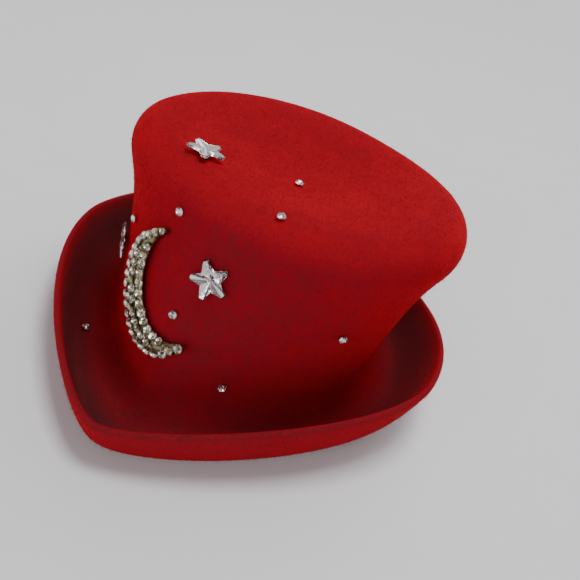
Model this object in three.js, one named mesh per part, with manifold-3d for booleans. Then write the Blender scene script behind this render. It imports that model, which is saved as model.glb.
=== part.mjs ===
// Mini top hat of red velour felt with a crescent brooch, crystal stars and small round crystals.
// Millimetres, +Z up. The hat stands on the flat underside of its brim at z = 0, with its pointed
// front towards -Y and the wearer's left side towards +X. Angles run from +X towards +Y.
import * as THREE from "three";
import { mergeVertices } from "three/addons/utils/BufferGeometryUtils.js";
import Module from "manifold-3d";

// Felt: thickness, the raw edge's roundness as a share of it, and the steps round each ring
const FELT = 2.4;
const EDGE_ROUND = 0.45;
const RING_STEPS = 72;

// Plan outlines about the crown's axis. half: half width. front, back: reach to either end.
// widest: y of the widest line. point: 0 for a round front, 1 for a sharp one.
// bow: 2 for bowed front sides, 1 for straight ones.
const OUTLINE = {
  top: { half: 64.5, front: 54, back: 63, widest: -1, point: 0.1, bow: 2 },
  base: { half: 50, front: 68, back: 57.5, widest: -6, point: 0.7, bow: 1.75 },
  gutter: { half: 63, front: 88, back: 72, widest: -4, point: 0.6, bow: 1.4 },
  rim: { half: 75.5, front: 98, back: 78, widest: -3.5, point: 0.7, bow: 1.6 },
};

// Heights of the crown's top and of the rim at the hat's four quarters
const TOP_HEIGHT = { front: 78.5, left: 84, back: 78.5, right: 78 };
const RIM_HEIGHT = { front: 15.5, left: 26, back: 18, right: 19 };

// Crown: rolled lip round the top, dished top, wall drawn in at a waist under the lip, and the foot
// that sweeps out into the brim
const LIP_RADIUS = 10.5;
const LIP_UNDERCUT = 16.5;
const DISH_DEPTH = 6;
const WAIST = 1.9;
const FOOT_HEIGHT = 11;
const FOOT_SHARE = 0.55;

// Steps along each stretch of the felt's section, from the top's middle out to the rim
const STRETCH_STEPS = { dish: 4, lip: 4, wall: 6, foot: 4, floor: 1, curl: 4 };

// Trims stand this far off the felt that carries them
const GLUE_GAP = 0.4;

// Crescent brooch, in a flat frame laid round the wall: x along the wall from the front ridge, y up.
// stiff: 0 for a plate bent with the wall, 1 for one left flat where it touches.
const MOON = {
  x: -9, y: 41.7, radius: 20.8, hollow_x: 4.1, hollow_y: 4.3, hollow_radius: 17.7, from: 118, to: 329,
  steps: 40, stiff: 0.5, touch_x: -18, touch_y: 40, lift: -0.3, edge: 2.1, crown: 2.6, shoulder: 0.25,
};
const PAVE = { pitch: 3.1, first_row: 1.4, rows: 3, margin: 1.1, radius: 1.45, sides: 8 };

// Cut crystals: outline radius, and the shares of it for the table and for each height
const ROUND = { radius: 1.55, back: 0.94, table: 0.58, girdle: 0.3, height: 0.85, sides: 10 };
const STAR = {
  radius: 7, valley: 0.53, blunt: 6, table: 0.34, table_valley: 0.75, back: 0.97, girdle: 0.8, height: 2.2,
};

// Where each crystal sits: angle and height on the wall, angle and share of the way round the lip,
// or x and y on the top and the brim
const STARS = [
  { name: "star_front", place: "wall", angle: -85.5, height: 53.5, turn: 51 },
  { name: "star_top", place: "top", x: -24, y: -31, turn: 7 },
  { name: "star_side", place: "wall", angle: -148, height: 33.5, turn: 18 },
];
const STONES = [
  { name: "stone_lip", place: "lip", angle: -105, share: 0.96 },
  { name: "stone_in_moon", place: "wall", angle: -95, height: 37 },
  { name: "stone_left", place: "wall", angle: -31, height: 44 },
  { name: "stone_foot", place: "wall", angle: -56, height: 18.5 },
  { name: "stone_right", place: "wall", angle: -136, height: 47.5 },
  { name: "stone_top_middle", place: "top", x: 3.5, y: -9 },
  { name: "stone_top_front", place: "lip", angle: -74.5, share: 0.09 },
  { name: "stone_brim", place: "floor", x: -39, y: -52.5 },
];

const DEGREE = Math.PI / 180;
const SMALL = 1e-3;
const LEVEL = 0.7;
const WALK_STRIDE = 0.25 * DEGREE;
const UP = new THREE.Vector3(0, 0, 1);
const BACK = new THREE.Vector3(0, 1, 0);

// Plan outlines

function planPoint(outline, angle) {
  const across = Math.cos(angle);
  const along = Math.sin(angle);
  const sharp = Math.sign(across) * (1 - Math.abs(along) ** outline.bow);
  const front = along < 0;
  const share = front ? across + outline.point * (sharp - across) : across;
  const reach = front ? outline.front + outline.widest : outline.back - outline.widest;
  return new THREE.Vector2(outline.half * share, outline.widest + reach * along);
}

function planNormal(outline, angle) {
  const ahead = planPoint(outline, angle + SMALL);
  const step = ahead.sub(planPoint(outline, angle - SMALL)).normalize();
  return new THREE.Vector2(step.y, -step.x);
}

function quarterHeight(height, angle) {
  const across = Math.cos(angle);
  const along = Math.sin(angle);
  const side = across > 0 ? height.left : height.right;
  const end = along < 0 ? height.front : height.back;
  return side * across ** 2 + end * along ** 2;
}

// Upper side of the felt: one function for each stretch of its section, with share from 0 to 1

const lift = (point, height) => new THREE.Vector3(point.x, point.y, height);
const TOP_MIDDLE = new THREE.Vector2(0, (OUTLINE.top.back - OUTLINE.top.front) / 2);
const TOP_MEAN = (TOP_HEIGHT.front + TOP_HEIGHT.left + TOP_HEIGHT.back + TOP_HEIGHT.right) / 4;
const FOOT_TOP = FELT + FOOT_HEIGHT;

// The waist is deepest a third of the way down the wall
function waistDepth(share) {
  return WAIST * (27 / 4) * share * (1 - share) ** 2;
}

const STRETCH = {
  dish(share, angle) {
    const crest = STRETCH.lip(0, angle);
    const plan = TOP_MIDDLE.clone().lerp(new THREE.Vector2(crest.x, crest.y), share);
    const sunk = DISH_DEPTH * (1 - share ** 2) ** 2;
    return lift(plan, TOP_MEAN + (crest.z - TOP_MEAN) * share - sunk);
  },
  lip(share, angle) {
    const outer = planPoint(OUTLINE.top, angle);
    const normal = planNormal(OUTLINE.top, angle);
    const height = quarterHeight(TOP_HEIGHT, angle) - LIP_RADIUS;
    const overhang = outer.clone().sub(planPoint(OUTLINE.base, angle)).dot(normal);
    const end = -Math.atan2(overhang, height - FOOT_TOP) - LIP_UNDERCUT * DEGREE;
    const roll = Math.PI / 2 + (end - Math.PI / 2) * share;
    const plan = outer.addScaledVector(normal, LIP_RADIUS * (Math.cos(roll) - 1));
    return lift(plan, height + LIP_RADIUS * Math.sin(roll));
  },
  wall(share, angle) {
    const foot = lift(planPoint(OUTLINE.base, angle), FOOT_TOP);
    const inward = planNormal(OUTLINE.top, angle).multiplyScalar(-waistDepth(share));
    return STRETCH.lip(1, angle).lerp(foot, share).add(lift(inward, 0));
  },
  foot(share, angle) {
    const turn = (share * Math.PI) / 2;
    const base = planPoint(OUTLINE.base, angle);
    const gutter = planPoint(OUTLINE.gutter, angle);
    const plan = base.lerp(gutter, FOOT_SHARE * (1 - Math.cos(turn)));
    return lift(plan, FELT + FOOT_HEIGHT * (1 - Math.sin(turn)));
  },
  floor(share, angle) {
    const base = planPoint(OUTLINE.base, angle);
    const gutter = planPoint(OUTLINE.gutter, angle);
    return lift(base.lerp(gutter, FOOT_SHARE + (1 - FOOT_SHARE) * share), FELT);
  },
  curl(share, angle) {
    const gutter = planPoint(OUTLINE.gutter, angle);
    const plan = gutter.lerp(planPoint(OUTLINE.rim, angle), share);
    return lift(plan, FELT + (quarterHeight(RIM_HEIGHT, angle) - FELT) * share ** 2);
  },
};

function slope(stretch, share, angle) {
  return STRETCH[stretch](share + SMALL, angle).sub(STRETCH[stretch](share - SMALL, angle));
}

function normalAt(stretch, share, angle) {
  const ahead = STRETCH[stretch](share, angle + SMALL);
  const round = ahead.sub(STRETCH[stretch](share, angle - SMALL));
  return slope(stretch, share, angle).cross(round).normalize();
}

// Closed body through a row of rings, with a middle point at each end

function skin(first, rings, last) {
  const size = rings[0].length;
  const points = [first, ...rings.flat(), last];
  const faces = [];
  for (let j = 0; j < size; j++) {
    const next = (j + 1) % size;
    faces.push(0, 1 + j, 1 + next);
    for (let k = 0; k + 1 < rings.length; k++) {
      const here = 1 + k * size;
      const beyond = here + size;
      faces.push(here + j, beyond + j, beyond + next);
      faces.push(here + j, beyond + next, here + next);
    }
    const rim = 1 + (rings.length - 1) * size;
    faces.push(rim + j, points.length - 1, rim + next);
  }
  const geometry = new THREE.BufferGeometry().setFromPoints(points);
  geometry.setIndex(faces);
  return geometry;
}

// Felt body: the upper side out to the rim, a rounded edge, and the under side back to the middle

function feltBody() {
  const rows = [];
  for (const [stretch, steps] of Object.entries(STRETCH_STEPS)) {
    const starts = stretch === "lip" || stretch === "floor" ? 0 : 1;
    const ends = stretch === "dish" || stretch === "foot" ? steps - 1 : steps;
    for (let i = starts; i <= ends; i++) rows.push({ stretch, share: i / steps });
  }
  const angles = Array.from({ length: RING_STEPS }, (_, j) => (j * 2 * Math.PI) / RING_STEPS);
  const upper = rows.map(({ stretch, share }) => angles.map((angle) => STRETCH[stretch](share, angle)));
  const under = rows.map(({ stretch, share }) =>
    angles.map((angle) => {
      const normal = normalAt(stretch, share, angle);
      return STRETCH[stretch](share, angle).addScaledVector(normal, -FELT);
    }),
  );
  const edge = angles.map((angle, j) => {
    const out = slope("curl", 1, angle).setLength(FELT * EDGE_ROUND);
    return upper.at(-1)[j].clone().lerp(under.at(-1)[j], 0.5).add(out);
  });
  const middle = STRETCH.dish(0, 0);
  return skin(middle, [...upper, edge, ...under.reverse()], middle.clone().addScaledVector(UP, -FELT));
}

// Seats on the felt: a point on its surface, with the directions right, up and out of it

function seat(stretch, share, angle) {
  const out = normalAt(stretch, share, angle);
  const guide = out.z > LEVEL ? BACK : UP;
  const up = guide.clone().addScaledVector(out, -guide.dot(out)).normalize();
  const right = up.clone().cross(out);
  return { point: STRETCH[stretch](share, angle), right, up, out };
}

function wallShare(angle, height) {
  const top = STRETCH.lip(1, angle).z;
  return (top - height) / (top - FOOT_TOP);
}

function wallSeat(angle, height) {
  return seat("wall", wallShare(angle, height), angle);
}

// The top and the brim's floor are read at a plan point by halving the steps of a short search
function planSeat(stretch, x, y) {
  const far = (share, angle) => {
    const point = STRETCH[stretch](share, angle);
    return Math.hypot(point.x - x, point.y - y);
  };
  let share = 0.5;
  let angle = Math.atan2(y, x);
  for (let step = 0.25; step > 1e-5; step /= 1.2) {
    for (const [ds, da] of [[step, 0], [-step, 0], [0, step], [0, -step]]) {
      if (far(share + ds, angle + da) < far(share, angle)) {
        share += ds;
        angle += da;
      }
    }
  }
  return seat(stretch, share, angle);
}

function seatOf({ place, angle, height, share, x, y }) {
  if (place === "wall") return wallSeat(angle * DEGREE, height);
  if (place === "lip") return seat("lip", share, angle * DEGREE);
  return planSeat(place === "top" ? "dish" : place, x, y);
}

// Cut crystals: a flat back, a girdle, a ring of facets and a flat table

function roundStone(radius, sides) {
  const profile = [
    new THREE.Vector2(0, 0),
    new THREE.Vector2(radius * ROUND.back, 0),
    new THREE.Vector2(radius, radius * ROUND.girdle),
    new THREE.Vector2(radius * ROUND.table, radius * ROUND.height),
    new THREE.Vector2(0, radius * ROUND.height),
  ];
  return new THREE.LatheGeometry(profile, sides).rotateX(Math.PI / 2);
}

function starRing(scale, valley, height, turn) {
  const ring = [];
  for (let arm = 0; arm < 5; arm++) {
    const tip = turn + arm * 72;
    const corners = [[tip - 36, valley], [tip - STAR.blunt, 1], [tip + STAR.blunt, 1]];
    for (const [degrees, share] of corners) {
      const reach = STAR.radius * scale * share;
      const angle = degrees * DEGREE;
      ring.push(new THREE.Vector3(reach * Math.cos(angle), reach * Math.sin(angle), height));
    }
  }
  return ring;
}

function starStone(turn) {
  const table = starRing(STAR.table, STAR.table_valley, STAR.height, turn);
  const girdle = starRing(1, STAR.valley, STAR.girdle, turn);
  const back = starRing(STAR.back, STAR.valley, 0, turn);
  const middle = new THREE.Vector3(0, 0, STAR.height);
  return skin(middle, [table, girdle, back], new THREE.Vector3());
}

// Crescent brooch: flat frame laid round the wall, domed plate and rows of small cut stones. The
// plate bridges the waist and is bent less than the wall.

function walkSeat(target, height) {
  const stride = Math.sign(target) * WALK_STRIDE;
  let angle = -Math.PI / 2;
  let walked = 0;
  let here = wallSeat(angle, height).point;
  while (walked < Math.abs(target)) {
    const next = wallSeat(angle + stride, height).point;
    const stretch = here.distanceTo(next);
    const share = Math.min(1, (Math.abs(target) - walked) / stretch);
    angle += stride * share;
    walked += stretch;
    here = next;
  }
  const end = wallSeat(angle, height);
  end.point.addScaledVector(end.out, waistDepth(wallShare(angle, height)));
  return end;
}

const TOUCH = walkSeat(MOON.touch_x, MOON.touch_y);

function moonSeat(x, y) {
  const bent = walkSeat(MOON.x + x, MOON.y + y);
  const flat = TOUCH.point.clone();
  flat.addScaledVector(TOUCH.right, MOON.x + x - MOON.touch_x);
  flat.addScaledVector(TOUCH.up, MOON.y + y - MOON.touch_y);
  const point = bent.point.lerp(flat, MOON.stiff);
  const out = bent.out.lerp(TOUCH.out, MOON.stiff).normalize();
  const right = bent.up.lerp(TOUCH.up, MOON.stiff).cross(out).normalize();
  return { point, right, up: out.clone().cross(right), out };
}

function hollowReach(angle) {
  const along = MOON.hollow_x * Math.cos(angle) + MOON.hollow_y * Math.sin(angle);
  const offset = MOON.hollow_x ** 2 + MOON.hollow_y ** 2;
  return along + Math.sqrt(along ** 2 - offset + MOON.hollow_radius ** 2);
}

function moonPoint(angle, reach, height) {
  const { point, out } = moonSeat(reach * Math.cos(angle), reach * Math.sin(angle));
  return point.addScaledVector(out, height);
}

function middleOf(ring) {
  const middle = new THREE.Vector3();
  for (const point of ring) middle.addScaledVector(point, 1 / ring.length);
  return middle;
}

function moonPlate() {
  const rings = [];
  for (let i = 0; i <= MOON.steps; i++) {
    const angle = (MOON.from + ((MOON.to - MOON.from) * i) / MOON.steps) * DEGREE;
    const inner = hollowReach(angle);
    const width = MOON.radius - inner;
    const section = [
      [0, MOON.lift],
      [1, MOON.lift],
      [1, MOON.edge],
      [1 - MOON.shoulder, MOON.crown],
      [MOON.shoulder, MOON.crown],
      [0, MOON.edge],
    ];
    rings.push(section.map(([share, height]) => moonPoint(angle, inner + width * share, height)));
  }
  return skin(middleOf(rings[0]), rings, middleOf(rings.at(-1)));
}

function paveStones() {
  const stones = [];
  for (let row = 0; row < PAVE.rows; row++) {
    const depth = PAVE.first_row + row * PAVE.pitch;
    const stride = PAVE.pitch / (MOON.radius - depth);
    const first = MOON.from * DEGREE + stride * (row % 2 ? 1 : 0.5);
    for (let angle = first; angle < MOON.to * DEGREE - stride / 3; angle += stride) {
      const reach = MOON.radius - depth;
      if (reach - hollowReach(angle) < PAVE.margin) continue;
      const { point, right, up, out } = moonSeat(reach * Math.cos(angle), reach * Math.sin(angle));
      const place = new THREE.Matrix4().makeBasis(right, up, out);
      place.setPosition(point.addScaledVector(out, MOON.edge));
      stones.push(roundStone(PAVE.radius, PAVE.sides).applyMatrix4(place));
    }
  }
  return stones;
}

const wasm = await Module();
wasm.setup();

function solid(geometry) {
  const bare = geometry.clone();
  bare.deleteAttribute("normal");
  bare.deleteAttribute("uv");
  const merged = mergeVertices(bare, 1e-4);
  const vertProperties = new Float32Array(merged.attributes.position.array);
  const triVerts = new Uint32Array(merged.index.array);
  return new wasm.Manifold(new wasm.Mesh({ numProp: 3, vertProperties, triVerts }));
}

function moonBrooch() {
  let brooch = solid(moonPlate());
  for (const stone of paveStones()) brooch = brooch.add(solid(stone));
  const mesh = brooch.getMesh();
  const geometry = new THREE.BufferGeometry();
  geometry.setAttribute("position", new THREE.BufferAttribute(new Float32Array(mesh.vertProperties), 3));
  geometry.setIndex(new THREE.BufferAttribute(new Uint32Array(mesh.triVerts), 1));
  return geometry;
}

// Materials

const material = (color, roughness, metalness) =>
  new THREE.MeshStandardMaterial({ color, roughness, metalness, flatShading: true });
const RED_FELT = material(0x9c0f18, 0.95, 0);
const CRYSTAL = material(0xe9e9ee, 0.05, 0);
const SILVER = material(0xb9b2a0, 0.3, 0.9);

// Assembly, with the origin under the middle of the brim's length

const hat = new THREE.Group();
hat.position.y = (OUTLINE.rim.front - OUTLINE.rim.back) / 2;

function addPiece(name, geometry, finish) {
  geometry.computeVertexNormals();
  const piece = new THREE.Mesh(geometry, finish);
  piece.name = name;
  hat.add(piece);
  return piece;
}

function addCrystal(row, geometry) {
  const { point, right, up, out } = seatOf(row);
  const crystal = addPiece(row.name, geometry, CRYSTAL);
  crystal.position.copy(point.addScaledVector(out, GLUE_GAP));
  crystal.quaternion.setFromRotationMatrix(new THREE.Matrix4().makeBasis(right, up, out));
}

addPiece("felt_body", feltBody(), RED_FELT);
addPiece("moon_brooch", moonBrooch(), SILVER);
for (const row of STARS) addCrystal(row, starStone(row.turn));
for (const row of STONES) addCrystal(row, roundStone(ROUND.radius, ROUND.sides));

export default hat;
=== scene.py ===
import math

import bpy
import numpy as np
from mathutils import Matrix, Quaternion, Vector


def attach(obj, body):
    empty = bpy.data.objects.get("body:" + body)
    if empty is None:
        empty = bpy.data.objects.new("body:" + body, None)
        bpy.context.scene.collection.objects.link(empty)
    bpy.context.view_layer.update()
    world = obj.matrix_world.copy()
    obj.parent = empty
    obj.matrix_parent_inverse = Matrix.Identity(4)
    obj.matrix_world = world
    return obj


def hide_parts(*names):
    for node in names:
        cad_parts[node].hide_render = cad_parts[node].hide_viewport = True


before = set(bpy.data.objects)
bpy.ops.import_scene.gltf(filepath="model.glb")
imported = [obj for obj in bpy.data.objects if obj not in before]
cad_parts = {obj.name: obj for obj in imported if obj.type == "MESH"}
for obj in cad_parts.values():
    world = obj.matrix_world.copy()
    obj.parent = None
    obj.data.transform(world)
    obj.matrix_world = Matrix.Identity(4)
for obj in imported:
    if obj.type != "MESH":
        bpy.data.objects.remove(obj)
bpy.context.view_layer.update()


# Felt body
# The crown and the brim are one cone of red velour felt, steamed and pulled over a block, so no seam
# or band parts them. The rim is curled up while damp and its edge is cut raw. The channel and the
# underside are darkened with painted shade, and the lip is lightened with a painted highlight.
MM = 0.001
FELT = 2.4
AXIS_BACK = 10.0
TOP = {"half": 64.5, "front": 54.0, "back": 63.0, "widest": -1.0, "point": 0.1, "bow": 2.0}
BASE = {"half": 50.0, "front": 68.0, "back": 57.5, "widest": -6.0, "point": 0.7, "bow": 1.75}
GUTTER = {"half": 63.0, "front": 88.0, "back": 72.0, "widest": -4.0, "point": 0.6, "bow": 1.4}
RIM = {"half": 75.5, "front": 98.0, "back": 78.0, "widest": -3.5, "point": 0.7, "bow": 1.6}
TOP_HEIGHT = {"front": 78.5, "left": 84.0, "back": 78.5, "right": 78.0}
RIM_HEIGHT = {"front": 15.5, "left": 26.0, "back": 18.0, "right": 19.0}
LIP_RADIUS = 10.5
LIP_UNDERCUT = math.radians(16.5)
DISH_DEPTH = 6.0
WAIST = 1.9
FOOT_HEIGHT = 11.0
FOOT_SHARE = 0.55
FOOT_TOP = FELT + FOOT_HEIGHT
NEAR = 1e-3


def plan(outline, angle):
    """Plan of an outline: x is the half width by the cosine, drawn in to a point at the front by a
    power of the sine, and y runs from the widest line by the sine times the reach to that end."""
    across, along = np.cos(angle), np.sin(angle)
    sharp = np.sign(across) * (1 - np.abs(along) ** outline["bow"])
    drawn = across + np.where(along < 0, outline["point"], 0) * (sharp - across)
    widest = outline["widest"]
    reach = np.where(along < 0, outline["front"] + widest, outline["back"] - widest)
    return np.stack([outline["half"] * drawn, widest + reach * along], -1)


def plan_out(outline, angle):
    """Outward direction of an outline, square to the step between two near points of it."""
    step = plan(outline, angle + NEAR) - plan(outline, angle - NEAR)
    step /= np.linalg.norm(step, axis=-1, keepdims=True)
    return np.stack([step[..., 1], -step[..., 0]], -1)


def quarter(height, angle):
    """Height round the hat: the side's by the squared cosine and the end's by the squared sine."""
    side = np.where(np.cos(angle) > 0, height["left"], height["right"])
    end = np.where(np.sin(angle) < 0, height["front"], height["back"])
    return side * np.cos(angle) ** 2 + end * np.sin(angle) ** 2


def waist_depth(share):
    """Depth of the wall's waist: a cubic, nought at both ends and full a third of the way down."""
    return WAIST * (27 / 4) * share * (1 - share) ** 2


def felt_point(stretch, share, angle):
    """Point of the felt's upper side on one stretch of its section, share 0 to 1, in mm.
    dish: straight out from the top's middle, sunk by a smooth bowl. lip: a round roll.
    wall: down to the foot, drawn in by the waist. foot: a quarter ellipse. floor: flat.
    curl: a parabola up."""
    share, angle = np.broadcast_arrays(np.asarray(share, float), np.asarray(angle, float))
    base, gutter = plan(BASE, angle), plan(GUTTER, angle)
    part = share[..., None]
    if stretch == "dish":
        crest = felt_point("lip", np.zeros_like(share), angle)
        middle = np.array([0.0, (TOP["back"] - TOP["front"]) / 2])
        mean = sum(TOP_HEIGHT.values()) / 4
        flat = middle + (crest[..., :2] - middle) * part
        height = mean + (crest[..., 2] - mean) * share - DISH_DEPTH * (1 - share ** 2) ** 2
    elif stretch == "lip":
        outer, out = plan(TOP, angle), plan_out(TOP, angle)
        height = quarter(TOP_HEIGHT, angle) - LIP_RADIUS
        overhang = ((outer - base) * out).sum(-1)
        end = -np.arctan2(overhang, height - FOOT_TOP) - LIP_UNDERCUT
        roll = np.pi / 2 + (end - np.pi / 2) * share
        flat = outer + out * (LIP_RADIUS * (np.cos(roll) - 1))[..., None]
        height = height + LIP_RADIUS * np.sin(roll)
    elif stretch == "wall":
        start = felt_point("lip", np.ones_like(share), angle)
        foot = np.concatenate([base, np.full(share.shape + (1,), FOOT_TOP)], -1)
        line = start + (foot - start) * part
        line[..., :2] -= waist_depth(part) * plan_out(TOP, angle)
        return line
    elif stretch == "foot":
        turn = share * np.pi / 2
        flat = base + (gutter - base) * (FOOT_SHARE * (1 - np.cos(turn)))[..., None]
        height = FELT + FOOT_HEIGHT * (1 - np.sin(turn))
    elif stretch == "floor":
        flat = base + (gutter - base) * (FOOT_SHARE + (1 - FOOT_SHARE) * part)
        height = np.full(share.shape, FELT)
    else:
        flat = gutter + (plan(RIM, angle) - gutter) * part
        height = FELT + (quarter(RIM_HEIGHT, angle) - FELT) * share ** 2
    return np.concatenate([flat, height[..., None]], -1)


def unit(vectors):
    """Vectors scaled to a length of one."""
    return vectors / np.linalg.norm(vectors, axis=-1, keepdims=True)


def grid_out(points):
    """Outward normals of a grid of rings: steps down the section crossed with steps round the ring."""
    down = np.gradient(points, axis=0)
    around = np.roll(points, -1, axis=1) - np.roll(points, 1, axis=1)
    return unit(np.cross(down, around))


def new_piece(name, points, faces, material, smooth=True):
    """One mesh object at the origin from points in mm about the crown's axis and lists of corners."""
    mesh = bpy.data.meshes.new(name)
    mesh.from_pydata((np.asarray(points) + (0, AXIS_BACK, 0)) * MM, [], faces)
    mesh.polygons.foreach_set("use_smooth", np.full(len(mesh.polygons), smooth))
    mesh.materials.append(material)
    mesh.update()
    made = bpy.data.objects.new(name, mesh)
    bpy.context.scene.collection.objects.link(made)
    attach(made, "root")
    return made


def ring_faces(rings, size, first):
    """Quads between neighbouring rings of one size, numbered row by row from the first corner."""
    row, col = np.meshgrid(np.arange(rings - 1), np.arange(size), indexing="ij")
    here, side = first + row * size + col, first + row * size + (col + 1) % size
    return np.stack([here, here + size, side + size, side], -1).reshape(-1, 4)


def fan_faces(ring, middle):
    """Triangles from a ring of corners to one middle corner."""
    return np.stack([np.full(len(ring), middle), ring, np.roll(ring, -1)], -1)


def node(tree, kind, **values):
    """A new shader node of this kind with its settings and inputs filled in by name."""
    made = tree.nodes.new(kind)
    for name, value in values.items():
        if name in made.bl_rna.properties:
            setattr(made, name, value)
        else:
            made.inputs[name.replace("_", " ")].default_value = value
    return made


def new_material(name):
    """A material with its node tree and its principled shader."""
    made = bpy.data.materials.new(name)
    made.use_nodes = True
    return made, made.node_tree, made.node_tree.nodes["Principled BSDF"]


def blend_colours(tree, factor, first, second):
    """Mix of two colours, each a fixed colour or another node's output, by a factor output."""
    mix = node(tree, "ShaderNodeMix", data_type="RGBA")
    tree.links.new(factor, mix.inputs["Factor"])
    for socket, colour in ((mix.inputs[6], first), (mix.inputs[7], second)):
        if isinstance(colour, bpy.types.NodeSocket):
            tree.links.new(colour, socket)
        else:
            socket.default_value = colour
    return mix.outputs[2]


DEEP_RED = (0.14, 0.010, 0.015, 1)
NAP_RED = (0.28, 0.007, 0.014, 1)
TIP_RED = (0.46, 0.006, 0.013, 1)
# Dull dark red of painted shade, laid in the channel where the lip and the rim shadow it.
CHANNEL_SHADE_RED = (0.045, 0.018, 0.020, 1)
CLOUD_SHARE = 0.35

felt_material, tree, shader = new_material("red_velour")
place = node(tree, "ShaderNodeTexCoord").outputs["Object"]
cloud = node(tree, "ShaderNodeTexNoise", Scale=110.0, Detail=4.0, Roughness=0.6)
grain = node(tree, "ShaderNodeTexNoise", Scale=1000.0, Detail=4.0, Roughness=0.7)
for texture in (cloud, grain):
    tree.links.new(place, texture.inputs["Vector"])
facing = node(tree, "ShaderNodeLayerWeight", Blend=0.4)
edge = node(tree, "ShaderNodeMapRange", From_Min=0.1, From_Max=0.8)
tree.links.new(facing.outputs["Facing"], edge.inputs["Value"])
tuft = node(tree, "ShaderNodeMath", operation="MULTIPLY_ADD")
tree.links.new(cloud.outputs["Fac"], tuft.inputs[0])
tuft.inputs[1].default_value = CLOUD_SHARE
tree.links.new(grain.outputs["Fac"], tuft.inputs[2])
nap = node(tree, "ShaderNodeMapRange", From_Min=0.46, From_Max=0.88)
tree.links.new(tuft.outputs["Value"], nap.inputs["Value"])
low = blend_colours(tree, edge.outputs["Result"], DEEP_RED, NAP_RED)
high = blend_colours(tree, edge.outputs["Result"], NAP_RED, TIP_RED)
raised = blend_colours(tree, nap.outputs["Result"], low, high)
# Painted highlight: the lip is lightened to the nap's tip red where light from above falls on its roll.
painted_lip_highlight = node(tree, "ShaderNodeAttribute", attribute_name="painted_lip_highlight")
raised = blend_colours(tree, painted_lip_highlight.outputs["Fac"], raised, TIP_RED)
# Painted shade: the channel, the underside and the rim's edge are darkened to the dull red, as the crown
# and the rim shadow them.
depth = node(tree, "ShaderNodeAttribute", attribute_name="painted_channel_shade")
shaded = blend_colours(tree, depth.outputs["Fac"], raised, CHANNEL_SHADE_RED)
tree.links.new(shaded, shader.inputs["Base Color"])
bump = node(tree, "ShaderNodeBump", Strength=0.45, Distance=0.0004)
tree.links.new(grain.outputs["Fac"], bump.inputs["Height"])
tree.links.new(bump.outputs["Normal"], shader.inputs["Normal"])
shader.inputs["Roughness"].default_value = 0.95
shader.inputs["Specular IOR Level"].default_value = 0.01
shader.inputs["Sheen Weight"].default_value = 0.15
shader.inputs["Sheen Roughness"].default_value = 0.4
shader.inputs["Sheen Tint"].default_value = (1.0, 0.03, 0.05, 1)

ROUND_STEPS = 288
SECTION_STEPS = {"dish": 24, "lip": 18, "wall": 26, "foot": 16, "floor": 6, "curl": 16}
SMOOTHINGS = 3
EDGE_RINGS, EDGE_FULLNESS = 5, 0.9
# Painted highlight on the lip: how much it is lightened towards the tip red along the roll.
LIP_SHARES, LIP_PAINTED_HIGHLIGHT = [0.05, 0.25, 0.5, 1.0], [0, 0.3, 0.25, 0]
# These gains make the channel's painted shade deeper towards the front.
CURL_FRONT_GAIN, FLOOR_FRONT_GAIN = 0.35, 0.9
# Painted shade on the rounded edge and the underside of the felt.
UNDERSIDE_SHADE = 0.2


def channel_shade(stretch, share):
    """Share of the painted shade in the channel, where the lip and the rim shadow it: a square at the
    foot, a line over the floor, and on the curl a line with a high power taken off, so that the rim's
    edge is bright again."""
    if stretch == "foot":
        return 0.15 * share ** 2
    if stretch == "floor":
        return 0.15 + 0.3 * share
    if stretch == "curl":
        return 0.5 + 0.4 * share - 0.8 * share ** 8
    return 0 * share


angles = np.arange(ROUND_STEPS) * 2 * np.pi / ROUND_STEPS
front = np.clip(-np.sin(angles), 0, 1) ** 2
rows, channel_shades, lip_highlights = [], [], []
for stretch, steps in SECTION_STEPS.items():
    shares = np.arange(1, steps + 1) / steps
    rows.append(felt_point(stretch, shares[:, None], angles[None, :]))
    # Painted shade for each ring of the section, deeper at the front.
    front_gain = CURL_FRONT_GAIN if stretch == "curl" else FLOOR_FRONT_GAIN
    channel_shades.append(channel_shade(stretch, shares)[:, None] * (1 + front_gain * front))
    # The painted lip highlight, only on the lip's rings.
    lip_highlight = np.interp(shares, LIP_SHARES, LIP_PAINTED_HIGHLIGHT) if stretch == "lip" else 0 * shares
    lip_highlights.append(np.repeat(lip_highlight[:, None], ROUND_STEPS, axis=1))
upper = np.concatenate(rows)
for _ in range(SMOOTHINGS):
    upper[1:-1] = (upper[:-2] + 2 * upper[1:-1] + upper[2:]) / 4
out = grid_out(upper)
under = upper - FELT * out
tangent = unit(upper[-1] - upper[-2])
turns = np.linspace(0, np.pi, EDGE_RINGS + 2)[1:-1, None, None]
edge_round = np.cos(turns) * out[-1] + EDGE_FULLNESS * np.sin(turns) * tangent
edge_rings = (upper[-1] + under[-1]) / 2 + FELT / 2 * edge_round
rings = np.concatenate([upper, edge_rings, under[::-1]])
middle = felt_point("dish", 0.0, 0.0)
points = np.concatenate([[middle], rings.reshape(-1, 3), [middle - (0, 0, FELT)]])
first_ring = 1 + np.arange(ROUND_STEPS)
last_ring = len(points) - 1 - ROUND_STEPS + np.arange(ROUND_STEPS)
faces = ring_faces(len(rings), ROUND_STEPS, 1).tolist()
faces += fan_faces(first_ring, 0).tolist()
faces += fan_faces(last_ring[::-1], len(points) - 1).tolist()
felt = new_piece("velour_body", points, faces, felt_material)
below = len(edge_rings) + len(under)
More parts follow.
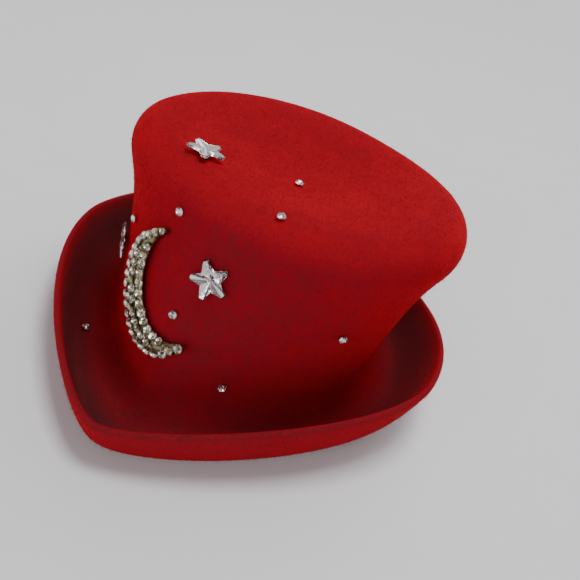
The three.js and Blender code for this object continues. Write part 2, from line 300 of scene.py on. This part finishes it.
# Painted shade in the channel and under the brim, and the painted highlight on the lip, one value to
# each corner.
painted_light_masks = {
    "painted_channel_shade": np.concatenate(channel_shades + [np.full((below, ROUND_STEPS), UNDERSIDE_SHADE)]),
    "painted_lip_highlight": np.concatenate(lip_highlights + [np.zeros((below, ROUND_STEPS))]),
}
for name, rows_of in painted_light_masks.items():
    per_corner = np.concatenate([[0], rows_of.ravel(), [0]]).astype(np.float32)
    felt.data.attributes.new(name, "FLOAT", "POINT").data.foreach_set("value", per_corner)
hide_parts("felt_body")

# Its nap: loose fibres that stand off the surface, thin closed spikes of three sides
FIBRES, FIBRE_LENGTH, FIBRE_RADIUS, FIBRE_LEAN = 20000, 1.1, 0.05, 0.8
FIBRE_SHORTEST, FIBRE_LONGEST, FIBRE_LOWEST = 0.4, 1.3, 0.2
NAP_RINGS_BELOW = 14


def spread_over(grid, count, draw):
    """Random spots on a grid of rings, evenly by area: a cell picked by its share of the whole area, a
    random blend of its four corners, its outward direction and the cell's number."""
    low, high = grid[:-1], grid[1:]
    low_next, high_next = np.roll(low, -1, axis=1), np.roll(high, -1, axis=1)
    across = np.cross(high_next - low, low_next - high)
    area = np.linalg.norm(across, axis=-1).ravel()
    cell = np.searchsorted(np.cumsum(area) / area.sum(), draw.random(count))
    u, v = draw.random((2, count, 1))

    def pick(part):
        return part.reshape(-1, 3)[cell]

    spot = (1 - u) * ((1 - v) * pick(low) + v * pick(low_next))
    spot = spot + u * ((1 - v) * pick(high) + v * pick(high_next))
    return spot, unit(pick(across)), cell


draw = np.random.default_rng(7)
outside = rings[:len(upper) + len(edge_rings) + NAP_RINGS_BELOW]
spot, away, cell = spread_over(outside, FIBRES, draw)
lean = unit(away + FIBRE_LEAN * draw.normal(size=spot.shape))
too_low = (lean * away).sum(-1, keepdims=True) < FIBRE_LOWEST
lean = unit(np.where(too_low, lean + away, lean))
long = FIBRE_LENGTH * draw.uniform(FIBRE_SHORTEST, FIBRE_LONGEST, (FIBRES, 1))
first = unit(np.cross(lean, draw.normal(size=spot.shape)))
second = np.cross(lean, first)
foot_turn = np.arange(3) * 2 * np.pi / 3
feet = [spot + FIBRE_RADIUS * (first * np.cos(t) + second * np.sin(t)) for t in foot_turn]
points = np.stack(feet + [spot + lean * long], 1)
spike = np.array([(0, 2, 1), (0, 1, 3), (1, 2, 3), (2, 0, 3)])
faces = (4 * np.arange(FIBRES)[:, None, None] + spike).reshape(-1, 3)
fibres = new_piece("velour_nap", points.reshape(-1, 3), faces.tolist(), felt_material)
# The fibres take the painted shade and the painted highlight of the cell that they stand on.
for name, rows_of in painted_light_masks.items():
    per_corner = np.repeat(rows_of[:len(outside) - 1].ravel()[cell], 4).astype(np.float32)
    fibres.data.attributes.new(name, "FLOAT", "POINT").data.foreach_set("value", per_corner)
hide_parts("felt_body")


# Crescent brooch
# A stiff cast plate of warm silver, a little bent, is set with rows of small cut stones. Grains of the
# plate are raised between the stones to hold them, and its back is glued where it touches the felt.
MOON_X, MOON_Y, MOON_RADIUS = -9.0, 41.7, 20.8
HOLLOW_X, HOLLOW_Y, HOLLOW_RADIUS = 4.1, 4.3, 17.7
MOON_STIFF, TOUCH_X, TOUCH_Y = 0.5, -18.0, 40.0
MOON_FROM, MOON_TO, MOON_ROUND = math.radians(118), math.radians(329), math.radians(6)
MOON_LIFT, MOON_INNER, MOON_OUTER, MOON_DOME, MOON_INSET = -0.3, 0.9, 1.5, 0.8, 0.25
PLATE_EDGE, PLATE_STEPS, DOME_STEPS = 0.15, 120, 12
WALK_REACH, WALK_STEPS, LEVEL = 1.2, 480, 0.7


def wall_seat(angle, height):
    """Place on the crown's wall at an angle and height: the point and the directions right, up, out."""
    angle, height = np.broadcast_arrays(np.asarray(angle, float), np.asarray(height, float))
    top = felt_point("lip", np.ones_like(angle), angle)[..., 2]
    share = (top - height) / (top - FOOT_TOP)
    return seat("wall", share, angle)


def seat(stretch, share, angle):
    """Place on the felt and its directions right, up and out: out is square to the felt, and up leans
    on +Z, or on +Y where the felt is level."""
    down = felt_point(stretch, share + NEAR, angle) - felt_point(stretch, share - NEAR, angle)
    around = felt_point(stretch, share, angle + NEAR) - felt_point(stretch, share, angle - NEAR)
    away = unit(np.cross(down, around))
    guide = np.where(away[..., 2:] > LEVEL, (0.0, 1.0, 0.0), (0.0, 0.0, 1.0))
    up = unit(guide - away * (guide * away).sum(-1, keepdims=True))
    return felt_point(stretch, share, angle), np.cross(up, away), up, away


def walk_seat(target, height):
    """Place on the wall for two flat measures: the height, and a way round from the front ridge that is
    walked by adding up chords until they reach it. The waist's depth is added back."""
    walk = np.linspace(-np.pi / 2 - WALK_REACH, -np.pi / 2 + WALK_REACH, WALK_STEPS + 1)
    path = wall_seat(walk[None, :], height[:, None])[0]
    chord = np.linalg.norm(np.diff(path, axis=1), axis=-1)
    length = np.concatenate([np.zeros((len(height), 1)), np.cumsum(chord, axis=1)], 1)
    length = length - length[:, WALK_STEPS // 2, None]
    at = np.clip((length < target[:, None]).sum(1), 1, WALK_STEPS)[:, None]
    low, high = np.take_along_axis(length, at - 1, 1), np.take_along_axis(length, at, 1)
    share = (target[:, None] - low) / (high - low)
    angle = (walk[at - 1] + (walk[at] - walk[at - 1]) * share)[:, 0]
    spot, right, up, away = wall_seat(angle, height)
    top = felt_point("lip", np.ones_like(angle), angle)[:, 2]
    depth = waist_depth((top - height) / (top - FOOT_TOP))
    return spot + away * depth[:, None], right, up, away


touch, touch_right, touch_up, touch_out = walk_seat(np.array([TOUCH_X]), np.array([TOUCH_Y]))


def moon_seat(x, y):
    """Place of the brooch's flat frame: half way from the bent wall to the flat plane at the touching
    point, because the stiff plate is bent less than the felt."""
    x, y = np.broadcast_arrays(np.asarray(x, float), np.asarray(y, float))
    across, height = MOON_X + x.ravel(), MOON_Y + y.ravel()
    spot, _, up, away = walk_seat(across, height)
    flat = touch + touch_right * (across - TOUCH_X)[:, None]
    flat = flat + touch_up * (height - TOUCH_Y)[:, None]
    spot = spot + (flat - spot) * MOON_STIFF
    away = unit(away + (touch_out - away) * MOON_STIFF)
    right = unit(np.cross(up + (touch_up - up) * MOON_STIFF, away))
    frame_parts = (spot, right, np.cross(away, right), away)
    return tuple(part.reshape(x.shape + (3,)) for part in frame_parts)


def hollow_reach(angle):
    """Distance from the crescent's middle to its hollow circle along an angle."""
    along = HOLLOW_X * np.cos(angle) + HOLLOW_Y * np.sin(angle)
    return along + np.sqrt(along ** 2 - HOLLOW_X ** 2 - HOLLOW_Y ** 2 + HOLLOW_RADIUS ** 2)


silver_material, tree, shader = new_material("warm_silver")
place = node(tree, "ShaderNodeTexCoord").outputs["Object"]
tarnish = node(tree, "ShaderNodeTexNoise", Scale=420.0, Detail=4.0, Roughness=0.6)
tree.links.new(place, tarnish.inputs["Vector"])
tint = blend_colours(tree, tarnish.outputs["Fac"], (0.09, 0.075, 0.03, 1), (0.42, 0.37, 0.21, 1))
tree.links.new(tint, shader.inputs["Base Color"])
polish = node(tree, "ShaderNodeMapRange", From_Min=0.3, From_Max=0.7, To_Min=0.18, To_Max=0.38)
tree.links.new(tarnish.outputs["Fac"], polish.inputs["Value"])
tree.links.new(polish.outputs["Result"], shader.inputs["Roughness"])
shader.inputs["Metallic"].default_value = 1.0

sweep = np.linspace(MOON_FROM, MOON_TO, PLATE_STEPS + 1)
dome = np.linspace(0, 1, DOME_STEPS + 1)


def moon_rise(share):
    """Height of the plate's face: a slope from the inner edge up to the outer one, and a parabola."""
    return MOON_INNER + (MOON_OUTER - MOON_INNER) * share + MOON_DOME * (1 - (2 * share - 1) ** 2)


rise = moon_rise(dome)
section_share = np.concatenate([[0.02, 0.5, 0.98, 1.0], dome[::-1], [0.0]])
low_edge = [MOON_LIFT + PLATE_EDGE]
section_height = np.concatenate([[MOON_LIFT] * 3, low_edge, rise[::-1], low_edge])
inner = hollow_reach(sweep)
width = MOON_RADIUS - inner - 2 * MOON_INSET
from_end = np.clip(np.minimum(sweep - MOON_FROM, MOON_TO - sweep) / MOON_ROUND, 0.03, 1)
rounded = np.sqrt(1 - (1 - from_end) ** 2)[:, None]
reach = inner[:, None] + MOON_INSET + width[:, None] * (0.5 + rounded * (section_share - 0.5))
spot, _, _, away = moon_seat(reach * np.cos(sweep)[:, None], reach * np.sin(sweep)[:, None])
plate = spot + away * section_height[:, None]
size = len(section_share)
points = np.concatenate([plate.reshape(-1, 3), [plate[0].mean(0)], [plate[-1].mean(0)]])
faces = ring_faces(len(plate), size, 0).tolist()
faces += fan_faces(np.arange(size), len(points) - 2).tolist()
faces += fan_faces(((len(plate) - 1) * size + np.arange(size))[::-1], len(points) - 1).tolist()
setting = new_piece("moon_setting", points, faces, silver_material)
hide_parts("moon_brooch")

# Its stones: cut rounds in a row along each edge, more between the rows, and small ones in the gaps
PAVE_RADIUS, PAVE_PITCH, PAVE_EDGE, PAVE_LEAN = 1.6, 3.35, 1.1, math.radians(26)
INNER_EDGE, HORN_WIDTH, TWO_ROW_WIDTH, HORN_ROOM = 0.85, 4.2, 5.4, 0.4
FIRST_STONE, SPREAD_GAP = 0.22 * PAVE_PITCH, 1.2 * PAVE_PITCH
ROW_GAP, FILL_GAP, SMALL_GAP = 0.86 * PAVE_PITCH, 0.82 * PAVE_PITCH, 0.7 * PAVE_PITCH
SPREAD_ROUNDS, SPREAD_STEP, SPREAD_EDGE = 60, 0.25, 0.9 * PAVE_EDGE
SMALL_EDGE, GRID_HALF, GRID_STEP = 0.6, 21, 0.2
SMALL_SCALE, HORN_SCALE, STONE_SINK, STONE_WOBBLE, STONE_SPIN = 0.55, 0.65, 0.25, 0.13, 2.4
PAVE_CUT = {"table": 0.5, "mid": 0.80, "girdle": 0.48, "height": 1.0}
KITE_SHARE, GIRDLE_WALL = 0.62, 0.06


def brilliant(radius, table, mid, girdle, height):
    """Cut round stone of radius 1, scaled: an eight-sided table, eight star facets, eight kites,
    sixteen facets down to the girdle, a thin girdle wall and sixteen facets down to a point."""
    eight, sixteen = np.arange(8) * np.pi / 4, np.arange(16) * np.pi / 8

    def ring(angle, reach, rise):
        return np.stack([reach * np.cos(angle), reach * np.sin(angle), np.full(len(angle), rise)], -1)

    mid_height = girdle + (height - girdle) * KITE_SHARE
    crown = [ring(eight, table, height), ring(eight + np.pi / 8, mid, mid_height)]
    belt = [ring(sixteen, 1.0, girdle), ring(sixteen, 1.0, girdle - GIRDLE_WALL)]
    corners = np.concatenate(crown + belt + [[(0.0, 0.0, 0.0)]]) * radius
    k, j = np.arange(8), np.arange(16)
    after, before, beside = (k + 1) % 8, (k - 1) % 8, (j + 1) % 16
    facets = [list(range(8))]
    facets += np.stack([k, 8 + k, after], -1).tolist()
    facets += np.stack([k, 8 + before, 16 + 2 * k, 8 + k], -1).tolist()
    facets += np.stack([8 + k, 16 + 2 * k, 17 + 2 * k], -1).tolist()
    facets += np.stack([8 + k, 17 + 2 * k, 16 + (2 * k + 2) % 16], -1).tolist()
    facets += np.stack([16 + j, 32 + j, 32 + beside, 16 + beside], -1).tolist()
    facets += np.stack([32 + j, np.full(16, 48), 32 + beside], -1).tolist()
    silvered = np.arange(len(facets)) >= len(facets) - 16
    return corners, facets, silvered


def repeated(facets, corners, count):
    """Facets of a shape that is repeated, each stepped on by the shape's number of corners."""
    steps = corners * np.arange(count)[:, None]
    return [face for facet in facets for face in (np.array(facet) + steps).tolist()]


def crystal_material(name, colour, other, scale):
    """Clear cut glass with a faint cloud of tint and a fine wear of its polish."""
    made, tree, shader = new_material(name)
    place = node(tree, "ShaderNodeTexCoord").outputs["Object"]
    cloud = node(tree, "ShaderNodeTexNoise", Scale=scale, Detail=3.0)
    tree.links.new(place, cloud.inputs["Vector"])
    tint = blend_colours(tree, cloud.outputs["Fac"], colour, other)
    tree.links.new(tint, shader.inputs["Base Color"])
    wear = node(tree, "ShaderNodeMapRange", From_Min=0.3, From_Max=0.7, To_Min=0.005, To_Max=0.04)
    tree.links.new(cloud.outputs["Fac"], wear.inputs["Value"])
    tree.links.new(wear.outputs["Result"], shader.inputs["Roughness"])
    shader.inputs["Transmission Weight"].default_value = 1.0
    shader.inputs["IOR"].default_value = 1.56
    return made


foil_material, tree, shader = new_material("silvered_back")
place = node(tree, "ShaderNodeTexCoord").outputs["Object"]
ripple = node(tree, "ShaderNodeTexNoise", Scale=900.0, Detail=2.0)
tree.links.new(place, ripple.inputs["Vector"])
foil = blend_colours(tree, ripple.outputs["Fac"], (0.90, 0.90, 0.91, 1), (1.0, 1.0, 1.0, 1))
tree.links.new(foil, shader.inputs["Base Color"])
bump = node(tree, "ShaderNodeBump", Strength=0.25, Distance=0.0002)
tree.links.new(ripple.outputs["Fac"], bump.inputs["Height"])
tree.links.new(bump.outputs["Normal"], shader.inputs["Normal"])
shader.inputs["Metallic"].default_value = 1.0
shader.inputs["Roughness"].default_value = 0.1

pave_material = crystal_material("pave_crystal", (1.0, 0.95, 0.82, 1), (0.96, 0.91, 0.68, 1), 700.0)


def moon_room(flat):
    """Distance of flat points from the crescent's nearer edge, positive inside it."""
    turn, reach = np.arctan2(flat[:, 1], flat[:, 0]) % (2 * np.pi), np.hypot(*flat.T)
    ends = np.minimum(turn - MOON_FROM, MOON_TO - turn) * reach
    hollow = np.hypot(flat[:, 0] - HOLLOW_X, flat[:, 1] - HOLLOW_Y) - HOLLOW_RADIUS
    return np.minimum(np.minimum(MOON_RADIUS - reach, hollow), ends + HORN_ROOM)


def stone_row(reach):
    """Points one stone's pitch apart along a line that is given by its reach at every angle."""
    turn = np.linspace(MOON_FROM, MOON_TO, 2000)
    line = reach(turn)[:, None] * np.stack([np.cos(turn), np.sin(turn)], -1)
    walked = np.concatenate([[0], np.cumsum(np.linalg.norm(np.diff(line, axis=0), axis=1))])
    stops = np.arange(FIRST_STONE, walked[-1], PAVE_PITCH)
    return np.stack([np.interp(stops, walked, along) for along in line.T], -1)


def outer_reach(turn):
    """One row down the middle of the narrow horns, which moves out to the outer edge between them."""
    width = MOON_RADIUS - hollow_reach(turn)
    return MOON_RADIUS - np.interp(width, [0, HORN_WIDTH, TWO_ROW_WIDTH], [0, HORN_WIDTH / 2, PAVE_EDGE])


def apart(first, second):
    """Distance of every point of one list from every point of another."""
    return np.linalg.norm(first[:, None] - second[None], axis=-1)


def fill_gaps(spots, taken, gap):
    """Spots added one by one, each a gap or more from those taken and as near as can be to three."""
    added = spots[:0]
    while True:
        near = np.sort(apart(spots, np.concatenate([taken, added])), axis=1)
        free = near[:, 0] >= gap
        if not free.any():
            return added
        best = np.where(free, near[:, :3].sum(1), np.inf).argmin()
        added = np.concatenate([added, spots[[best]]])


outer_row = stone_row(outer_reach)
inner_row = stone_row(lambda turn: hollow_reach(turn) + INNER_EDGE)
inner_row = inner_row[apart(inner_row, outer_row).min(1) > ROW_GAP]
edge_stones = np.concatenate([outer_row, inner_row])
lines = np.arange(-GRID_HALF, GRID_HALF, GRID_STEP)
grid = np.stack(np.meshgrid(lines, lines), -1).reshape(-1, 2)
fill = fill_gaps(grid[moon_room(grid) > PAVE_EDGE], edge_stones, FILL_GAP)
for _ in range(SPREAD_ROUNDS):
    others = np.concatenate([edge_stones, fill])
    away_from = fill[:, None] - others[None]
    gap = np.linalg.norm(away_from, axis=-1, keepdims=True) + 1e-9
    push = away_from / gap * np.clip(SPREAD_GAP - gap, 0, None) * (gap > 1e-6)
    moved = fill + SPREAD_STEP * push.sum(1)
    fill = np.where(moon_room(moved)[:, None] > SPREAD_EDGE, moved, fill)
placed = np.concatenate([edge_stones, fill])
small = fill_gaps(grid[moon_room(grid) > SMALL_EDGE], placed, SMALL_GAP)
placed = np.concatenate([placed, small])
turn, reach = np.arctan2(placed[:, 1], placed[:, 0]), np.hypot(*placed.T)
width = MOON_RADIUS - hollow_reach(turn)
share = np.clip((reach - hollow_reach(turn)) / width, 0, 1)
spot, right, up, away = moon_seat(placed[:, 0], placed[:, 1])
outward = right * np.cos(turn)[:, None] + up * np.sin(turn)[:, None]
lean = (PAVE_LEAN * (2 * share - 1))[:, None]
top = away * np.cos(lean) + outward * np.sin(lean)
spin = (STONE_SPIN * np.arange(len(placed)))[:, None]
top = unit(top + STONE_WOBBLE * (right * np.cos(spin) + up * np.sin(spin)))
side = unit(np.cross(np.cross(top, right), top))
front = side * np.cos(spin) + np.cross(top, side) * np.sin(spin)
frames = np.stack([front, np.cross(top, front), top], 1)
corners, facets, silvered = brilliant(PAVE_RADIUS, **PAVE_CUT)
seats = spot + away * (moon_rise(share) - STONE_SINK)[:, None]
taper = np.clip(width / (2 * PAVE_RADIUS), HORN_SCALE, 1)
taper[len(placed) - len(small):] = SMALL_SCALE
taper = taper[:, None, None]
points = seats[:, None, :] + taper * np.einsum("ck,nkd->ncd", corners, frames)
faces = repeated(facets, len(corners), len(spot))
pave = new_piece("moon_stones", points.reshape(-1, 3), faces, pave_material, smooth=False)
pave.data.materials.append(foil_material)
pave.data.polygons.foreach_set("material_index", np.repeat(silvered, len(spot)).astype(np.int32))
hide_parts("moon_brooch")

# Its claws: four small grains of the plate beside every stone, pushed over its girdle
CLAW_RADIUS, CLAW_FOOT, CLAW_REACH, CLAW_HEIGHT = 0.2, -0.9, 1.02, 0.42
CLAW_SECTION = ((1.0, CLAW_FOOT), (0.95, 0.35), (0.5, 0.85))
six = np.arange(6) * np.pi / 3
bead = [np.stack([reach * np.cos(six), reach * np.sin(six), np.full(6, rise)], -1)
        for reach, rise in CLAW_SECTION]
claw = np.concatenate(bead + [[(0.0, 0.0, 1.0), (0.0, 0.0, CLAW_FOOT)]]) * CLAW_RADIUS
claw_faces = ring_faces(3, 6, 0)[:, ::-1].tolist() + fan_faces(np.arange(12, 18), 18).tolist()
claw_faces += fan_faces(np.arange(5, -1, -1), 19).tolist()
beside = np.pi / 4 + np.arange(4) * np.pi / 2
aside = outward * np.cos(lean) - away * np.sin(lean)
tilt_frames = np.stack([aside, np.cross(top, aside), top], 1)
ring_flat = np.stack([np.cos(beside), np.sin(beside), np.full(4, CLAW_HEIGHT)], -1)
ring_flat = PAVE_RADIUS * CLAW_REACH * ring_flat
claw_spots = seats[:, None, :] + taper * np.einsum("ck,nkd->ncd", ring_flat, tilt_frames)
points = claw_spots[:, :, None, :] + np.einsum("ck,nkd->ncd", claw, tilt_frames)[:, None, :, :]
faces = repeated(claw_faces, len(claw), 4 * len(seats))
claws = new_piece("moon_claws", points.reshape(-1, 3), faces, silver_material)
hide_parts("moon_brooch")


# Crystal stars and round crystals
# Cut glass with silvered back facets, glued to the felt one by one. The three stars have a wide flat
# table and a narrow bevel, and the eight round ones are the common small size.
GLUE_GAP = 0.4
ROUND_RADIUS = 1.55
ROUND_CUT = {"table": 0.58, "mid": 0.82, "girdle": 0.44, "height": 0.9}
STAR_RADIUS, STAR_VALLEY, STAR_BLUNT = 7.0, 0.53, math.radians(6)
STAR_TABLE, STAR_HEIGHT, STAR_BEVEL, STAR_GIRDLE = 0.95, 2.2, 1.6, 1.35
STARS = (
    ("star_front", "wall", -85.5, 53.5, 51),
    ("star_top", "dish", -24.0, -31.0, 7),
    ("star_side", "wall", -148, 33.5, 18),
)
STONES = (
    ("stone_lip", "lip", -105, 0.96),
    ("stone_in_moon", "wall", -95, 37.0),
    ("stone_left", "wall", -31, 44.0),
    ("stone_foot", "wall", -56, 18.5),
    ("stone_right", "wall", -136, 47.5),
    ("stone_top_middle", "dish", 3.5, -9.0),
    ("stone_top_front", "lip", -74.5, 0.09),
    ("stone_brim", "floor", -39.0, -52.5),
)


def plan_seat(stretch, x, y):
    """Seat under a plan point: the nearest of a grid of places, searched again on a finer grid."""
    share, angle, span, swing = 0.5, 0.0, 0.5, np.pi
    for _ in range(4):
        shares = share + span * np.linspace(-1, 1, 121)[:, None]
        turns = angle + swing * np.linspace(-1, 1, 241)[None, :]
        flat = felt_point(stretch, shares, turns)[..., :2]
        miss = np.hypot(flat[..., 0] - x, flat[..., 1] - y)
        best = np.unravel_index(miss.argmin(), miss.shape)
        share, angle = shares[best[0], 0], turns[0, best[1]]
        span, swing = span / 20, swing / 40
    return seat(stretch, np.asarray(share), np.asarray(angle))


def crystal_seat(place, first, second):
    """Seat by angle and height on the wall, by angle and share on the lip, or by x and y elsewhere."""
    if place == "wall":
        return wall_seat(math.radians(first), second)
    if place == "lip":
        return seat(place, np.asarray(second), np.asarray(math.radians(first)))
    return plan_seat(place, first, second)


def star_cut(turn):
    """Five-armed star: each arm a blunt tip between two valleys. A wide flat table, a narrow bevel down
    to the girdle, and a back of three facets to each arm that all meet in a point below the middle."""
    arm = np.radians(turn + 72 * np.arange(5))

    def ring(scale, height):
        angle = np.stack([arm - np.pi / 5, arm - STAR_BLUNT, arm + STAR_BLUNT], -1).ravel()
        reach = STAR_RADIUS * scale * np.tile([STAR_VALLEY, 1, 1], 5)
        return np.stack([reach * np.cos(angle), reach * np.sin(angle), np.full(15, height)], -1)

    levels = [ring(STAR_TABLE, STAR_HEIGHT), ring(1.0, STAR_BEVEL), ring(1.0, STAR_GIRDLE)]
    corners = np.concatenate(levels + [[(0.0, 0.0, 0.0)]])
    facets = [list(range(15))] + ring_faces(3, 15, 0).tolist()
    facets += fan_faces(np.arange(44, 29, -1), 45).tolist()
    silvered = np.arange(len(facets)) >= len(facets) - 15
    return corners, facets, silvered


clear_material = crystal_material("clear_crystal", (1.0, 0.94, 0.94, 1), (1.0, 0.82, 0.84, 1), 350.0)


def glue(name, corners, facets, silvered, place):
    """One crystal set on the felt in its seat, with the facets of its back silvered."""
    spot, right, up, away = place
    points = spot + away * GLUE_GAP + corners @ np.stack([right, up, away])
    made = new_piece("cut_" + name, points, facets, clear_material, smooth=False)
    made.data.materials.append(foil_material)
    made.data.polygons.foreach_set("material_index", silvered.astype(np.int32))
    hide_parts(name)


for name, place, first, second, turn in STARS:
    glue(name, *star_cut(turn), crystal_seat(place, first, second))
for name, place, first, second in STONES:
    glue(name, *brilliant(ROUND_RADIUS, **ROUND_CUT), crystal_seat(place, first, second))


# Stage
# A plain pale floor and soft light from panels overhead, in front and behind, with two small panels
# that make the cut stones sparkle. The surroundings are pale low down and dark above.
FLOOR_HALF = 6.0
LIGHT_AIM = (0, 0, 0.05)
floor_mesh = bpy.data.meshes.new("floor")
floor_corners = [(x * FLOOR_HALF, y * FLOOR_HALF, 0) for x, y in ((-1, -1), (1, -1), (1, 1), (-1, 1))]
floor_mesh.from_pydata(floor_corners, [], [(0, 1, 2, 3)])
floor_material, tree, shader = new_material("pale_floor")
place = node(tree, "ShaderNodeTexCoord").outputs["Object"]
mottle = node(tree, "ShaderNodeTexNoise", Scale=30.0, Detail=4.0)
tree.links.new(place, mottle.inputs["Vector"])
pale = blend_colours(tree, mottle.outputs["Fac"], (0.82, 0.82, 0.84, 1), (0.86, 0.86, 0.88, 1))
tree.links.new(pale, shader.inputs["Base Color"])
shader.inputs["Roughness"].default_value = 0.8
floor_mesh.materials.append(floor_material)
floor = bpy.data.objects.new("floor", floor_mesh)
bpy.context.scene.collection.objects.link(floor)


def panel(name, spot, aim, size, power):
    """Square soft light at a spot, turned to an aim point."""
    lamp = bpy.data.lights.new(name, "AREA")
    lamp.size = size
    lamp.energy = power
    made = bpy.data.objects.new(name, lamp)
    made.location = spot
    made.rotation_euler = (Vector(aim) - Vector(spot)).to_track_quat("-Z", "Y").to_euler()
    bpy.context.scene.collection.objects.link(made)


panel("overhead", (0.05, 0.10, 1.2), (0, 0, 0.03), 0.5, 9.5)
panel("front", (0.1, -1.35, 0.50), LIGHT_AIM, 0.5, 4.2)
panel("sparkle_right", (-0.45, -1.2, 0.30), LIGHT_AIM, 0.25, 2.0)
panel("sparkle_left", (0.25, -1.4, 0.90), LIGHT_AIM, 0.25, 2.0)
panel("behind", (0.1, 1.7, 0.9), LIGHT_AIM, 2.0, 20.0)
world = bpy.data.worlds.new("studio")
world.use_nodes = True
tree = world.node_tree
heading = node(tree, "ShaderNodeSeparateXYZ")
tree.links.new(node(tree, "ShaderNodeTexCoord").outputs["Generated"], heading.inputs["Vector"])
height = node(tree, "ShaderNodeMapRange", From_Min=0.1, From_Max=0.6)
tree.links.new(heading.outputs["Z"], height.inputs["Value"])
walls = blend_colours(tree, height.outputs["Result"], (0.85, 0.85, 0.87, 1), (0.16, 0.16, 0.17, 1))
tree.links.new(walls, tree.nodes["Background"].inputs["Color"])
bpy.context.scene.world = world

# Camera
# The view of the hat from above its front and left, with the level turned as the picture has it.
CAMERA_SPOT = (0.0932, -0.2557, 0.2043)
CAMERA_AIM = (0.0118, 0.0113, 0.0282)
CAMERA_ROLL = math.radians(22.03)
CAMERA_SENSOR_MM, CAMERA_LENS_MM = 36.0, 52.8
lens = bpy.data.cameras.new("camera")
lens.sensor_width = CAMERA_SENSOR_MM
lens.lens = CAMERA_LENS_MM
lens.clip_start = 0.01
camera = bpy.data.objects.new("camera", lens)
camera.location = CAMERA_SPOT
look = (Vector(CAMERA_AIM) - Vector(CAMERA_SPOT)).to_track_quat("-Z", "Y")
camera.rotation_euler = (look @ Quaternion((0, 0, 1), CAMERA_ROLL)).to_euler()
bpy.context.scene.collection.objects.link(camera)
bpy.context.scene.camera = camera
